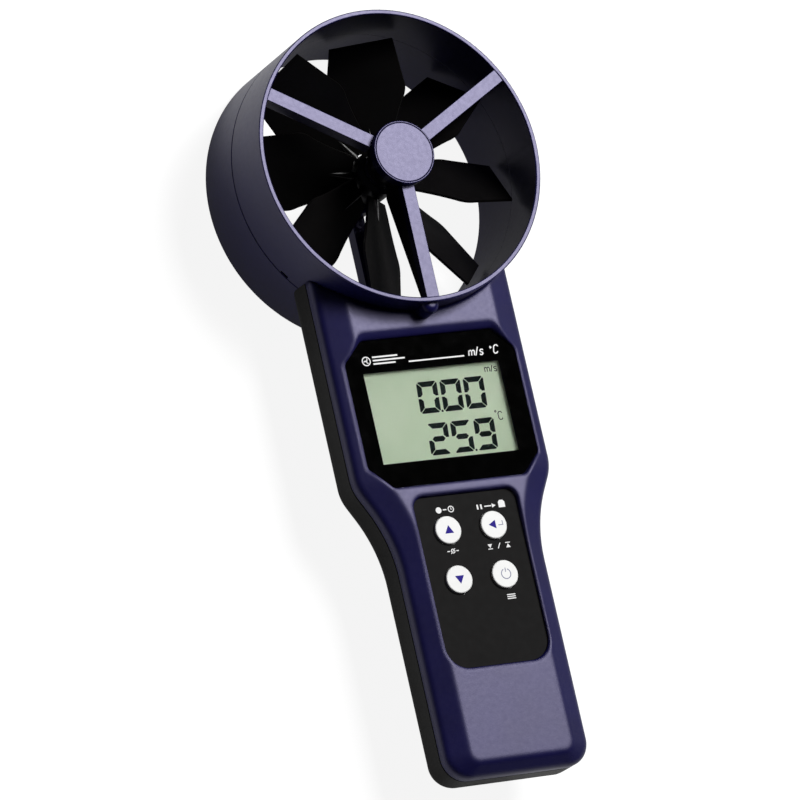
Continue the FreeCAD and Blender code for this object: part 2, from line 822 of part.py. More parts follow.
def build_blades():
    """Flat blades on round stems that plug into the rotor's hub, all set at one pitch."""
    pitch = FreeCAD.Rotation(FreeCAD.Vector(1, 0, 0), -size("blade_pitch"))
    for index in range(BLADES):
        label = f"vane_blade_{index + 1}"
        body = new_body(label)
        paddle = sketch_on(body, label + "_outline")
        blade_outline(paddle)
        pad(body, paddle, "blade_thickness", both_ways=True)
        stem = sketch_on(body, label + "_stem")
        revolve(body, polygon(stem, [
            ("stem_end", "0"),
            ("stem_end", "stem_radius"),
            ("stem_collar", "stem_radius"),
            ("stem_collar", "stem_collar_radius"),
            ("stem_tip", "blade_thickness / 2"),
            ("stem_tip", "0"),
        ]), "H_Axis")
        around_axis = FreeCAD.Rotation(FreeCAD.Vector(0, 0, 1), size("blade_angle") + 360 / BLADES * index)
        body.Placement.Rotation = around_axis.multiply(pitch)
        bind(body, y="head_y", z="rotor_z")
        node(body, label)


def build_axle():
    node(at_head(turned("axle", [
        ("0", "axle_low"),
        ("axle_radius - 0.4", "axle_low"),
        ("axle_radius", "axle_low + 0.6"),
        ("axle_radius", "axle_high - 0.6"),
        ("axle_radius - 0.4", "axle_high"),
        ("0", "axle_high"),
    ])), "axle")
    node(at_head(turned("magnet_ring", [
        ("magnet_bore", "rotor_z + rotor_hub_half"),
        ("magnet_radius", "rotor_z + rotor_hub_half"),
        ("magnet_radius", "rotor_z + rotor_hub_half + magnet_height"),
        ("magnet_bore", "rotor_z + rotor_hub_half + magnet_height"),
    ])), "magnet_ring")


# ---------------------------------------------------------------- case

def ring_clearance(body, name, top, length):
    """Hollow the end of a case shell to take the ring."""
    hollow = circle(sketch_on(body, name, offset=top), "ring_radius + ring_gap", y="head_y")
    pocket(body, hollow, length)


def add_bosses(body, prefix, places, radius, low, high):
    for index, (x, y) in enumerate(places, start=1):
        boss = circle(sketch_on(body, f"{prefix}_{index}", offset=low), radius, x=x, y=y)
        pad(body, boss, f"({high}) - ({low})")


def drill(body, prefix, places, radius, low, depth):
    for index, (x, y) in enumerate(places, start=1):
        hole = circle(sketch_on(body, f"{prefix}_{index}", offset=low), radius, x=x, y=y)
        pocket(body, hole, depth, reverse=True)


def four_places(x_high, y_high, x_low, y_low):
    return [(f"{side} * {x}", y) for x, y in ((x_high, y_high), (x_low, y_low)) for side in (-1, 1)]


CASE_SCREWS = four_places("case_screw_x", "case_screw_y", "handle_screw_x", "handle_screw_y")
BOARD_SCREWS = four_places("board_screw_x", "board_screw_y", "board_low_screw_x", "board_low_screw_y")
NECK_SCREWS = [("-neck_screw_x", "neck_screw_y"), ("neck_screw_x", "neck_screw_y")]
BUTTONS = {
    "button_up": ("-button_x", "button_high_y"),
    "button_enter": ("button_x", "button_high_y"),
    "button_down": ("-button_x", "button_low_y"),
    "button_power": ("button_x", "button_low_y"),
}


def shell_skin(body):
    """Outside of the front shell: upright walls, bevelled flanks and a flat face."""
    wall = rounded_outline(sketch_on(body, "front_outline", offset="parting_z"), case_outline())
    pad(body, wall, "bevel_z - parting_z")
    low = rounded_outline(sketch_on(body, "bevel_low", offset="bevel_z"), case_outline())
    high = rounded_outline(sketch_on(body, "bevel_high", offset="face_z"), face_outline())
    loft(body, low, high)
    fillet(body, "face_round", level_edges("face_z"))
    fillet(body, "edge_round", level_edges("bevel_z"))


def shell_hollow(body):
    """Inside of the front shell, one wall in from its skin."""
    ceiling = "face_z - wall"
    bevel = "bevel_z - 1.4"
    low = rounded_outline(sketch_on(body, "hollow_low", offset="parting_z"), case_outline("wall"))
    pocket(body, low, f"{bevel} - parting_z", reverse=True)
    start = rounded_outline(sketch_on(body, "hollow_bevel", offset=bevel), case_outline("wall"))
    end = rounded_outline(sketch_on(body, "hollow_high", offset=ceiling), face_outline("2"))
    loft(body, start, end, "PartDesign::SubtractiveLoft")


def shell_ledges(body):
    """Thicken the shell's face from behind, round the window and under the keypad."""
    rim = window_outline(sketch_on(body, "window_rim", offset="ledge_z"), "-window_rim")
    pad(body, rim, "window_rim_height")
    frame = sketch_on(body, "window_frame", offset="ledge_z")
    rectangle(frame, "window_rim_height - face_half", "window_bottom - window_rim",
              "face_half - window_rim_height", "window_top + window_rim")
    pad(body, frame, "face_z - wall - ledge_z + 0.4")
    low, high = "keypad_bottom - keypad_rim", "window_bottom"
    wide = sketch_on(body, "keypad_rim_bed", offset="keypad_under")
    rectangle(wide, "-keypad_half - keypad_rim", low, "keypad_half + keypad_rim", high)
    pad(body, wide, "keypad_rim_height")
    bed = sketch_on(body, "keypad_bed", offset="keypad_under")
    rectangle(bed, "2 - face_handle_half", low, "face_handle_half - 2", high)
    pad(body, bed, "face_z - wall - keypad_under + 0.4")


def shell_windows(body):
    """Seats for the window and the keypad's panel, with sloped rims, and the openings in them."""
    seat = window_outline(sketch_on(body, "window_seat", offset="face_z"))
    pocket(body, seat, "face_z - window_z + window_thickness + mask_thickness")
    low = window_outline(sketch_on(body, "window_slope_low", offset="window_slope_z"), "0.02")
    high = window_outline(sketch_on(body, "window_slope_high", offset="face_z"),
                          "-window_chamfer", "window_slope - window_chamfer")
    loft(body, low, high, "PartDesign::SubtractiveLoft")
    opening = sketch_on(body, "window_opening", offset="face_z")
    window_outline(opening, "window_ledge")
    pocket(body, opening, "face_z - ledge_z + 1")
    recess = keypad_outline(sketch_on(body, "keypad_recess", offset="face_z"))
    pocket(body, recess, "face_z - keypad_floor")
    low = keypad_outline(sketch_on(body, "keypad_slope_low", offset="face_z - 2 * keypad_chamfer"), "0.02")
    high = keypad_outline(sketch_on(body, "keypad_slope_high", offset="face_z"), "-keypad_chamfer")
    loft(body, low, high, "PartDesign::SubtractiveLoft")
    drill(body, "button_hole", BUTTONS.values(), "button_radius + button_gap", "keypad_under", "3")


def build_front_shell():
    body = new_body("front_shell_body")
    shell_skin(body)
    shell_hollow(body)
    shell_ledges(body)
    add_bosses(body, "case_boss", CASE_SCREWS, "boss_radius", "parting_z", "boss_top")
    add_bosses(body, "high_post", BOARD_SCREWS[:2], "board_post_radius", "board_high", "ledge_z + 0.7")
    add_bosses(body, "low_post", BOARD_SCREWS[2:], "board_post_radius", "board_high", "keypad_under + 0.5")
    shell_windows(body)
    drill(body, "case_thread", CASE_SCREWS, "screw_radius + thread_gap", "parting_z",
          "boss_top - parting_z - 1.4")
    drill(body, "board_thread", BOARD_SCREWS, "board_screw_radius + thread_gap", "board_high",
          "board_screw_length - 1")
    ring_clearance(body, "ring_hollow", "face_z", "face_z - parting_z + 1")
    slot = span_block("lead_slot", "channel_half", "lead_y - channel_half", "lead_y + 3",
                      "parting_z", "face_z + 1")
    node(cut("front_shell_cut", body, slot), "front_shell")


def back_blank(name):
    """The back of the case as a solid block with well-rounded edges."""
    body = new_body(name)
    outline = rounded_outline(sketch_on(body, name + "_outline", offset="back_z"), case_outline())
    pad(body, outline, "parting_z - groove_height - back_z")
    fillet(body, "back_round", level_edges("back_z"))
    return body


def door_box(name, gap):
    return span_block(name, f"door_half + {gap}", "case_end - 5", f"door_top + {gap}", "back_z - 5",
                      f"back_z + door_thickness + {gap}")


def build_back_shell():
    body = back_blank("back_shell_body")
    lip = rounded_outline(sketch_on(body, "lip", offset="parting_z - groove_height"),
                          case_outline("groove_depth"))
    pad(body, lip, "groove_height")
    deep = rounded_outline(sketch_on(body, "floor_hollow", offset="parting_z"), case_outline("6"))
    pocket(body, deep, "parting_z - back_z - wall")
    broad = rounded_outline(sketch_on(body, "wall_hollow", offset="parting_z"), case_outline("wall"))
    pocket(body, broad, "parting_z - back_z - 5.3")
    add_bosses(body, "back_boss", CASE_SCREWS, "boss_radius + 0.4", "boss_foot", "parting_z")
    add_bosses(body, "neck_boss", NECK_SCREWS, "boss_radius + 1", "boss_foot", "neck_low")
    partition = sketch_on(body, "partition", offset="boss_foot")
    rectangle(partition, "-partition_half", "partition_y", "partition_half",
              "partition_y + partition_thickness")
    pad(body, partition, "board_low - boss_foot - 0.6")
    drill(body, "back_counterbore", CASE_SCREWS, "screw_head_radius + 0.3", "back_z - 1",
          "screw_seat + 1")
    drill(body, "back_clearance", CASE_SCREWS, "screw_radius + fit_gap", "back_z",
          "parting_z - back_z + 1")
    drill(body, "neck_counterbore", NECK_SCREWS, "screw_head_radius + 0.3", "back_z - 1",
          "neck_screw_seat + 1")
    drill(body, "neck_clearance", NECK_SCREWS, "screw_radius + fit_gap", "back_z",
          "neck_low - back_z + 1")
    ring_clearance(body, "back_ring_hollow", "parting_z", "parting_z - back_z")
    opening = door_box("door_opening", "fit_gap")
    lead_notch = span_block("lead_notch", "lead_notch_half", "partition_y - 1", "partition_y + 3",
                            "lead_notch_low", "lead_notch_high")
    node(cut("back_shell_cut", body, opening, lead_notch), "back_shell")


def build_battery_door():
    """Sliding door in the back, with grip grooves across its end."""
    plate = doc.addObject("Part::Common", "door_plate")
    plate.Base = back_blank("door_blank")
    plate.Tool = door_box("door_limits", "0")
    grooves = [block(f"door_groove_{i + 1}", "grip_length", "grip_width", "2 * grip_depth",
                     y=f"door_top - 5 - {i} * grip_pitch", z="back_z - grip_depth")
               for i in range(5)]
    node(cut("battery_door_cut", plate, fuse("door_grooves", *grooves)), "battery_door")


# ---------------------------------------------------------------- display and keypad

def build_window():
    """Clear window with the opaque mask printed behind it."""
    pane = new_body("display_window")
    outline = sketch_on(pane, "pane_outline", offset="window_z")
    window_outline(outline, "fit_gap")
    pad(pane, outline, "window_thickness", reverse=True)
    node(pane, "display_window")
    mask = new_body("window_mask")
    edge = sketch_on(mask, "mask_outline", offset="window_z - window_thickness")
    window_outline(edge, "fit_gap")
    rectangle(edge, "-view_half", "view_bottom", "view_half", "view_top")
    pad(mask, edge, "mask_thickness", reverse=True)
    node(mask, "window_mask")


def view_block(name, margin, low, high):
    """A block as large as the display's visible area and a margin all round."""
    return span_block(name, f"view_half + {margin}", f"view_bottom - {margin}", f"view_top + {margin}",
                      low, high)


def build_display():
    glass = view_block("lcd_glass_block", "glass_margin", "glass_z - glass_thickness", "glass_z")
    node(glass, "lcd_glass")
    outside = view_block("lcd_frame_outside", "frame_margin", "board_high", "frame_z")
    inside = view_block("lcd_frame_inside", "(glass_margin + fit_gap)", "board_high", "glass_z + 0.05")
    view = view_block("lcd_frame_view", "frame_view_margin", "glass_z - 1", "frame_z + 1")
    node(cut("lcd_frame_cut", outside, inside, view), "lcd_frame")
    strips = []
    for name, place in (("high", "view_top + glass_margin - strip_width / 2 - 0.3"),
                        ("low", "view_bottom - glass_margin + strip_width / 2 + 0.3")):
        strips.append(block(f"contact_strip_{name}", "2 * view_half", "strip_width",
                            "glass_z - glass_thickness - board_high", y=place, z="board_high"))
    doc.recompute()
    node(group("contact_strips_group", [strip.Shape for strip in strips]), "contact_strips")


def build_keypad():
    panel = new_body("keypad_panel")
    outline = keypad_outline(sketch_on(panel, "panel_outline", offset="keypad_floor"), "fit_gap")
    for x, y in BUTTONS.values():
        circle(outline, "button_radius + button_gap", x=x, y=y)
    pad(panel, outline, "panel_thickness")
    node(panel, "keypad_panel")
    for label, (x, y) in BUTTONS.items():
        button = turned(label, [
            ("0", "button_under"),
            ("button_flange", "button_under"),
            ("button_flange", "keypad_under - 0.1"),
            ("button_radius", "keypad_under - 0.1"),
            ("button_radius", "button_top"),
            ("0", "button_top"),
        ])
        fillet(button, "button_round", level_edges("button_top"))
        node(bind(button, x=x, y=y), label)


# ---------------------------------------------------------------- electronics

def board_outline(sketch):
    neck_y = "button_high_y + 13"
    return polygon(sketch, [
        ("-board_half", "board_top"), ("board_half", "board_top"),
        ("board_half", "view_bottom - 4"), ("board_handle_half", neck_y),
        ("board_handle_half", "board_end"), ("-board_handle_half", "board_end"),
        ("-board_handle_half", neck_y), ("-board_half", "view_bottom - 4"),
    ])


def build_board():
    board = new_body("circuit_board")
    outline = board_outline(sketch_on(board, "board_outline", offset="board_low"))
    for x, y in BOARD_SCREWS:
        circle(outline, "board_screw_radius + 0.2", x=x, y=y)
    pad(board, outline, "board_high - board_low")
    node(board, "circuit_board")
    chip = block("controller_chip_block", "12", "12", "1.6", y="-6", z="board_low - 1.6")
    node(chip, "controller_chip")
    sizes = (("3.2", "1.6", "1.2"), ("5", "3.5", "1.8"), ("2", "1.2", "0.9"))
    parts = []
    for index, (width, length, height) in enumerate(sizes * 4):
        column, row = index % 3, index // 3
        parts.append(block(f"board_part_{index + 1}", width, length, height,
                           f"{column * 10 - 10}", f"-20 - {row * 9}", f"board_low - {height}"))
    doc.recompute()
    node(group("board_parts_group", [part.Shape for part in parts]), "board_components")
    plug = block("lead_connector_block", "7", "2.6", "3", y="board_top - 1.5", z="board_high")
    node(plug, "lead_connector")


def build_switches():
    solids = []
    for label, (x, y) in BUTTONS.items():
        base = block(label + "_switch", "switch_size", "switch_size", "switch_top - board_high",
                     x, y, "board_high")
        plunger = cylinder(label + "_plunger", "plunger_radius", "plunger_top - switch_top + 0.5",
                           x, y, "switch_top - 0.5")
        solids.append(fuse(label + "_switch_body", base, plunger))
    doc.recompute()
    node(group("key_switches_group", [solid.Shape for solid in solids]), "key_switches")


def bent_tube(name, corners, bend, radius):
    """A round tube along straight runs that are joined by tangent arcs."""
    places = [FreeCAD.Vector(*(size(value) for value in corner)) for corner in corners]
    round_bend = size(bend)
    edges = []
    start = places[0]
    for before, corner, after in zip(places, places[1:], places[2:]):
        back = (before - corner).normalize()
        ahead = (after - corner).normalize()
        half_angle = back.getAngle(ahead) / 2
        reach = round_bend / math.tan(half_angle)
        depth = round_bend / math.sin(half_angle) - round_bend
        middle = corner + (back + ahead).normalize() * depth
        entry, leave = corner + back * reach, corner + ahead * reach
        edges.append(Part.LineSegment(start, entry).toShape())
        edges.append(Part.Arc(entry, middle, leave).toShape())
        start = leave
    edges.append(Part.LineSegment(start, places[-1]).toShape())
    ring = Part.Circle(places[0], places[1] - places[0], size(radius)).toShape()
    feature = doc.addObject("Part::Feature", name)
    feature.Shape = Part.Wire(edges).makePipeShell([Part.Wire([ring])], True, True)
    return feature


def build_leads():
    """Sensor lead from the hub to the board, and the battery's two leads."""
    lead = bent_tube("sensor_lead_tube", [
        ("0", "head_y - 6", "lead_z"),
        ("0", "lead_y", "lead_z"),
        ("0", "lead_y", "lead_plug_z"),
        ("0", "board_top - 0.2", "lead_plug_z"),
    ], "lead_bend", "lead_radius")
    node(lead, "sensor_lead")
    for label, side in (("battery_lead_red", -1), ("battery_lead_black", 1)):
        tube = bent_tube(label + "_tube", [
            (f"{side} * battery_lead_x", "battery_front + clip_thickness + 0.4", "battery_lead_z"),
            (f"{side} * battery_lead_x", "board_end + 3", "battery_lead_z"),
            (f"{side} * battery_lead_x", "board_end + 3", "board_low"),
        ], "battery_lead_bend", "battery_lead_radius")
        node(tube, label)


def build_battery():
    """Nine-volt block, its two studs, and the snap clip on them."""
    middle = "battery_low + battery_height / 2"
    cell = new_body("battery_body")
    outline = sketch_on(cell, "battery_outline", "XZ_Plane", "-battery_front")
    rounded_outline(outline, mirrored([
        ("battery_width / 2", "battery_low + battery_height", "2"),
        ("battery_width / 2", "battery_low", "2"),
    ]))
    pad(cell, outline, "battery_front - battery_back")
    node(cell, "battery")
    studs, sockets = [], []
    for index, radius in enumerate(("small_stud", "large_stud")):
        place = dict(x=f"{2 * index - 1} * terminal_x", y="battery_front", z=middle)
        stud = cylinder(f"stud_{index + 1}", radius, "terminal_height", **place)
        socket = cylinder(f"socket_{index + 1}", f"{radius} + 0.2", "terminal_height + 0.2", **place)
        for item in (stud, socket):
            item.Placement.Rotation = FreeCAD.Rotation(FreeCAD.Vector(1, 0, 0), -90)
        studs.append(stud)
        sockets.append(socket)
    doc.recompute()
    node(group("battery_studs_group", [stud.Shape for stud in studs]), "battery_studs")
    plate = block("clip_plate", "battery_width - 2", "clip_thickness", "clip_height",
                  y="battery_front + 0.4 + clip_thickness / 2", z=f"{middle} - clip_height / 2")
    node(cut("battery_clip_cut", plate, *sockets), "battery_clip")


# ---------------------------------------------------------------- screws

def screw_shape(name, radius, head_radius, head_height, length):
    """A pan-head screw pointing up, its head's underside at zero, with a cross recess."""
    body = turned(name, [
        ("0", f"-{head_height}"),
        (f"{head_radius} - 0.4", f"-{head_height}"),
        (f"{head_radius}", f"0.5 - {head_height}"),
        (f"{head_radius}", "0"),
        (radius, "0"),
        (radius, f"({length}) - 0.6"),
        (f"{radius} - 0.6", length),
        ("0", length),
    ])
    for turn, (half_x, half_y) in enumerate(((0.3, 1.3), (1.3, 0.3)), start=1):
        recess = sketch_on(body, f"{name}_recess_{turn}", offset=f"-{head_height}")
        rectangle(recess, f"-{half_x}", f"-{half_y}", f"{half_x}", f"{half_y}")
        pocket(body, recess, "0.8", reverse=True)
    return body.Shape.copy()


def build_screws():
    case_head = ("screw_radius", "screw_head_radius", "screw_head_height")
    board_head = ("board_screw_radius", "board_head_radius", "board_head_height")
    kinds = (
        ("case_screws", CASE_SCREWS, case_head, "case_screw_length", "back_z + screw_seat"),
        ("neck_screws", NECK_SCREWS, case_head, "neck_screw_length", "back_z + neck_screw_seat"),
        ("board_screws", BOARD_SCREWS, board_head, "board_screw_length", "board_low"),
    )
    for label, places, (radius, head_radius, head_height), length, seat in kinds:
        shape = screw_shape(label + "_pattern", radius, head_radius, head_height, length)
        copies = []
        for x, y in places:
            copy = shape.copy()
            copy.translate(FreeCAD.Vector(size(x), size(y), size(seat)))
            copies.append(copy)
        node(group(label + "_group", copies), label)


# ---------------------------------------------------------------- build, check and write

def check_document():
    for thing in doc.Objects:
        if "Invalid" in thing.State or "Error" in thing.State:
            raise RuntimeError(f"{thing.Name} failed: {thing.State}")
    for thing in nodes:
        if thing.Shape.isNull() or not thing.Shape.isValid():
            raise RuntimeError(f"{thing.Label} has a bad shape")


def write_nodes():
    os.makedirs("parts", exist_ok=True)
    for thing in nodes:
        thing.Shape.exportStep(f"parts/{thing.Label}.step")


fill_sheet()
build_front_ring()
build_rear_ring()
build_hub_caps()
build_bearings()
build_sensor_arm()
build_sensors()
build_rotor_hub()
build_blades()
build_axle()
build_front_shell()
build_back_shell()
build_battery_door()
build_window()
build_display()
build_keypad()
build_board()
build_switches()
build_leads()
build_battery()
build_screws()
doc.recompute()
check_document()
write_nodes()
print(len(nodes), "sub-parts written")
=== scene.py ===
"""Looks of a handheld vane anemometer: materials, printed marks, floor, light and camera."""

import math

import bmesh
import bpy
from mathutils import Matrix, Vector


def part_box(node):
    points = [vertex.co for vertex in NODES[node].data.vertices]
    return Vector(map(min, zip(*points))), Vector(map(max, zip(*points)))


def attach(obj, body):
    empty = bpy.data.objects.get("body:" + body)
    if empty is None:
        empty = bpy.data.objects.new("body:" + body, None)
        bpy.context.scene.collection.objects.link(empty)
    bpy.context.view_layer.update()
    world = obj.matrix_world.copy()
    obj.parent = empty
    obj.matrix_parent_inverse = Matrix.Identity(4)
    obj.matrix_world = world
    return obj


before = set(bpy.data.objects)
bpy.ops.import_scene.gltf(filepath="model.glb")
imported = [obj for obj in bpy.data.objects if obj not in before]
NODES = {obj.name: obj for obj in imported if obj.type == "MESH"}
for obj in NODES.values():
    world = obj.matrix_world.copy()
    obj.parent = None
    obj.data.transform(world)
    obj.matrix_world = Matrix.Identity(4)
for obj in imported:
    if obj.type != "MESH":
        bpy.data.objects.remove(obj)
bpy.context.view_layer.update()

MM = 0.001
WHITE = (1.0, 1.0, 1.0, 1.0)


# ---------------------------------------------------------------- materials

# what all moulded plastics share: patch sizes in mm, and how far the roughness strays
FLOW_MM, RUB_MM, SPECK_TO_GRAIN = 14, 1.6, 3.1
ROUGH_SPREAD = 0.025
BEVEL_SAMPLES = 8
PANE_IOR = 1.49
TRACKS_PER_M = 260.0

class Graph:
    """A material with one Principled shader, and short ways to add nodes in front of it."""

    def __init__(self, name, **plain):
        self.material = bpy.data.materials.new(name)
        self.material.use_nodes = True
        self.tree = self.material.node_tree
        self.tree.nodes.clear()
        self.shader = self.tree.nodes.new("ShaderNodeBsdfPrincipled")
        output = self.tree.nodes.new("ShaderNodeOutputMaterial")
        self.tree.links.new(self.shader.outputs[0], output.inputs["Surface"])
        self.place = self.tree.nodes.new("ShaderNodeTexCoord").outputs["Object"]
        for socket, value in plain.items():
            self.shader.inputs[socket.replace("_", " ")].default_value = value

    def add(self, kind, settings=(), **inputs):
        """A shader node with its settings made and its inputs fed."""
        node = self.tree.nodes.new("ShaderNode" + kind)
        for key, value in dict(settings).items():
            setattr(node, key, value)
        for key, value in inputs.items():
            self.feed(node.inputs[key.replace("_", " ")], value)
        return node

    def feed(self, socket, value):
        """Links a node's output to socket, or sets socket to a plain value."""
        if isinstance(value, bpy.types.NodeSocket):
            self.tree.links.new(value, socket)
        else:
            socket.default_value = value

    def noise(self, size_mm, detail=3.0, rough=0.55, stretch=None):
        """Noise whose patches are about size_mm across."""
        place = self.place
        if stretch:
            place = self.add("Mapping", Vector=place, Scale=stretch).outputs[0]
        scale = 1 / (size_mm * MM)
        node = self.add("TexNoise", Vector=place, Scale=scale, Detail=detail, Roughness=rough)
        return node.outputs["Fac"]

    def spread(self, value, low, high, start=0.3, end=0.7):
        """value brought from start..end to low..high."""
        ends = {"From_Min": start, "From_Max": end, "To_Min": low, "To_Max": high}
        return self.add("MapRange", Value=value, **ends).outputs[0]

    def tint(self, fac, first, second):
        """A colour between two colours."""
        node = self.add("Mix", {"data_type": "RGBA"})
        self.feed(node.inputs[0], fac)
        self.feed(node.inputs[6], first)
        self.feed(node.inputs[7], second)
        return node.outputs[2]

    def bump(self, height, depth_mm, onto=None):
        """A normal from height, depth_mm deep, laid over the normal onto."""
        node = self.add("Bump", Height=height, Distance=depth_mm * MM, Strength=1.0)
        if onto is not None:
            self.feed(node.inputs["Normal"], onto)
        return node.outputs[0]

    def finish(self, colour=None, rough=None, normal=None):
        for socket, value in (("Base Color", colour), ("Roughness", rough), ("Normal", normal)):
            if value is not None:
                self.feed(self.shader.inputs[socket], value)
        return self.material


def rgb(red, green, blue):
    """A linear colour with alpha from display values 0 to 255."""

    def linear(c):
        c /= 255
        return c / 12.92 if c <= 0.04045 else ((c + 0.055) / 1.055) ** 2.4

    return (linear(red), linear(green), linear(blue), 1.0)


def shade(colour, k):
    """colour made k times as bright."""
    return tuple(c * k for c in colour[:3]) + (1.0,)


def moulded(name, colour, rough, grain_mm, depth_mm, vary=0.12, soft_mm=0.0, **plain):
    """Moulded plastic: eroded grain, flow mottling, rub marks. soft_mm rounds the shaded edges."""
    g = Graph(name, **plain)
    cloud = g.noise(FLOW_MM, 2)
    grain = g.noise(grain_mm, 4, 0.6)
    specks = g.noise(grain_mm * SPECK_TO_GRAIN, 2, 0.5)
    rubbed = g.noise(RUB_MM, 5, 0.6)
    tone = g.tint(g.spread(cloud, 0, 1), shade(colour, 1 - vary), shade(colour, 1 + vary))
    tone = g.tint(g.spread(grain, 0, 0.35, 0.45, 0.75), tone, shade(colour, 1 + 3 * vary))
    finish = g.spread(rubbed, rough - ROUGH_SPREAD, rough + ROUGH_SPREAD)
    edges = None
    if soft_mm:
        edges = g.add("Bevel", {"samples": BEVEL_SAMPLES}, Radius=soft_mm * MM).outputs[0]
    low = g.bump(specks, depth_mm * 0.8, edges)
    return g.finish(tone, finish, g.bump(grain, depth_mm, low))


def film(name, colour, rough, grain_mm, depth_mm, **plain):
    """Printed or smooth sheet: very fine grain and faint smudges."""
    g = Graph(name, **plain)
    smudge = g.noise(3, 4, 0.6)
    grain = g.noise(grain_mm, 2)
    tone = g.tint(g.spread(smudge, 0, 1), shade(colour, 0.94), shade(colour, 1.06))
    return g.finish(tone, g.spread(smudge, rough * 0.96, rough * 1.05), g.bump(grain, depth_mm))


def metal(name, colour, rough, **plain):
    """Turned metal with fine tool marks and a little tarnish."""
    g = Graph(name, Metallic=1.0, **plain)
    tarnish = g.noise(2.2, 4, 0.6)
    lines = g.noise(0.08, 2, 0.5, (1, 1, 0.15))
    tone = g.tint(g.spread(tarnish, 0, 1), shade(colour, 0.78), colour)
    return g.finish(tone, g.spread(tarnish, rough * 0.8, rough * 1.3), g.bump(lines, 0.004))


def clear_pane(name):
    """Clear polished plastic with faint smudges."""
    g = Graph(name, Transmission_Weight=1.0, IOR=PANE_IOR)
    smudge = g.noise(4, 4, 0.6)
    tone = g.tint(g.spread(smudge, 0, 1), rgb(250, 252, 250), rgb(255, 255, 255))
    return g.finish(tone, g.spread(smudge, 0.015, 0.045), g.bump(g.noise(1.6, 1), 0.0006))


def liquid_crystal(name):
    """Grey-green reflective display with the fine grain of its polariser."""
    g = Graph(name, Specular_IOR_Level=0.1)
    drift = g.noise(24, 1)
    grain = g.noise(0.09, 2)
    tone = g.tint(g.spread(drift, 0, 1), rgb(228, 246, 216), rgb(236, 251, 224))
    tone = g.tint(g.spread(grain, 0, 0.12), tone, rgb(204, 224, 192))
    return g.finish(tone, g.spread(grain, 0.5, 0.6), g.bump(grain, 0.002))


def board_lacquer(name):
    """Green solder mask in a brick pattern of two tones, for the copper tracks under it."""
    g = Graph(name, Coat_Weight=0.4, Coat_Roughness=0.15)
    cells = g.add("TexBrick", Vector=g.place, Scale=TRACKS_PER_M, Mortar_Size=0.03)
    cells.offset = 0.3
    tracks = cells.outputs["Fac"]
    tone = g.tint(tracks, rgb(18, 74, 44), rgb(52, 120, 70))
    rough = g.spread(g.noise(1.5), 0.3, 0.42)
    return g.finish(tone, rough, g.bump(tracks, 0.02))


def jacket(name, colour, band, edge_mm):
    """A battery jacket: plain colour, with a band of another colour below y = edge_mm."""
    g = Graph(name, Metallic=0.35)
    split = g.add("SeparateXYZ", Vector=g.place)
    below = g.add("Math", {"operation": "LESS_THAN"})
    g.feed(below.inputs[0], split.outputs["Y"])
    g.feed(below.inputs[1], edge_mm * MM)
    tone = g.tint(below.outputs[0], colour, band)
    scuffs = g.noise(1.8, 5, 0.7, (1, 0.3, 1))
    tone = g.tint(g.spread(scuffs, 0, 0.2, 0.55, 0.8), tone, rgb(120, 120, 122))
    return g.finish(tone, g.spread(scuffs, 0.28, 0.45), g.bump(scuffs, 0.01))


